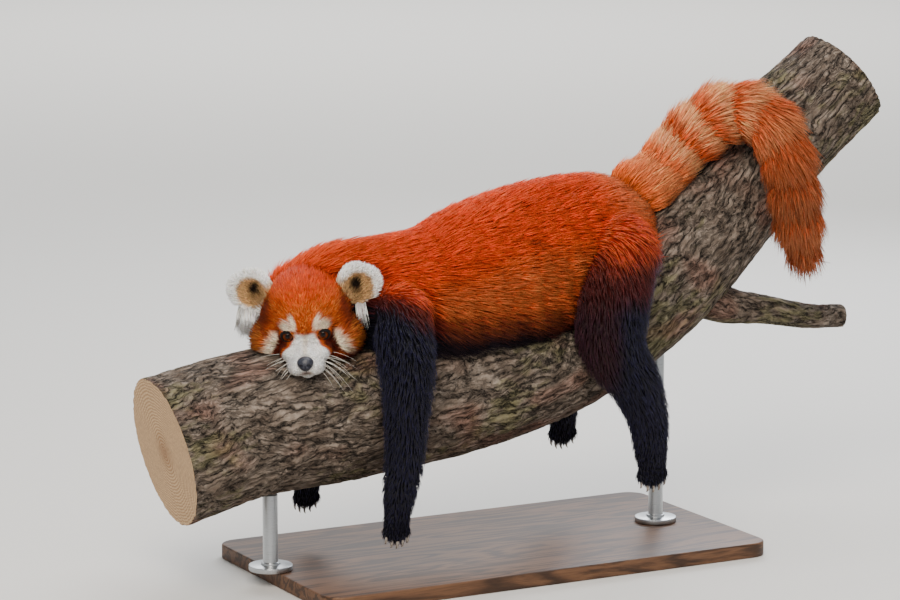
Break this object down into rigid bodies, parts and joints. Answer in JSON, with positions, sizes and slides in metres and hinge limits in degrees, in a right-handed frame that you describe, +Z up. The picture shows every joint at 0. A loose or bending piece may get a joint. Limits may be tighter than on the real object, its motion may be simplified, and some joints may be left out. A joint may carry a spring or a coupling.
{
  "type": "red panda model on a branch perch with a display stand",
  "caption": "Life-size still red panda draped over a cut length of thick branch, head turned to one side, tail hanging down, on a plain flat stand with rods",
  "frame": {"origin": "middle of the underside of the stand's base", "axes": "+X along the branch from the panda's head to its tail, -Y to the panda's left side, +Z up"},
  "size_m": [0.993, 0.32, 0.6183],
  "materials": {
    "red_fur": "dense red-brown guard hair over woolly underfur, matt with a soft sheen",
    "black_fur": "blue-black short dense hair, matt",
    "face_fur": "short face hair, buff and white with rust tear marks",
    "ear_fur": "white ear fringe over buff short hair",
    "tail_fur": "long tail hair in orange and pale rings",
    "eye": "dark brown wet eye",
    "nose_skin": "dark moist pebbled nose skin",
    "bark": "grey-brown fissured bark",
    "base_wood": "dark oiled board",
    "rod_metal": "satin steel rod"
  },
  "bodies": {
    "root": {"branch": "bark", "ear_left": "ear_fur", "ear_right": "ear_fur", "eye_left": "eye", "eye_right": "eye", "front_leg_left": "black_fur", "front_leg_right": "black_fur", "front_paw_left": "black_fur", "front_paw_right": "black_fur", "head": "face_fur", "hind_foot_left": "black_fur", "hind_foot_right": "black_fur", "hind_leg_left": "black_fur", "hind_leg_right": "black_fur", "neck": "red_fur", "nose": "nose_skin", "side_branch": "bark", "stand_base": "base_wood", "stand_rod_front": "rod_metal", "stand_rod_rear": "rod_metal", "tail_base": "tail_fur", "tail_bend": "tail_fur", "tail_middle": "tail_fur", "tail_tip": "tail_fur", "torso": "red_fur"}
  },
  "joints": []
}
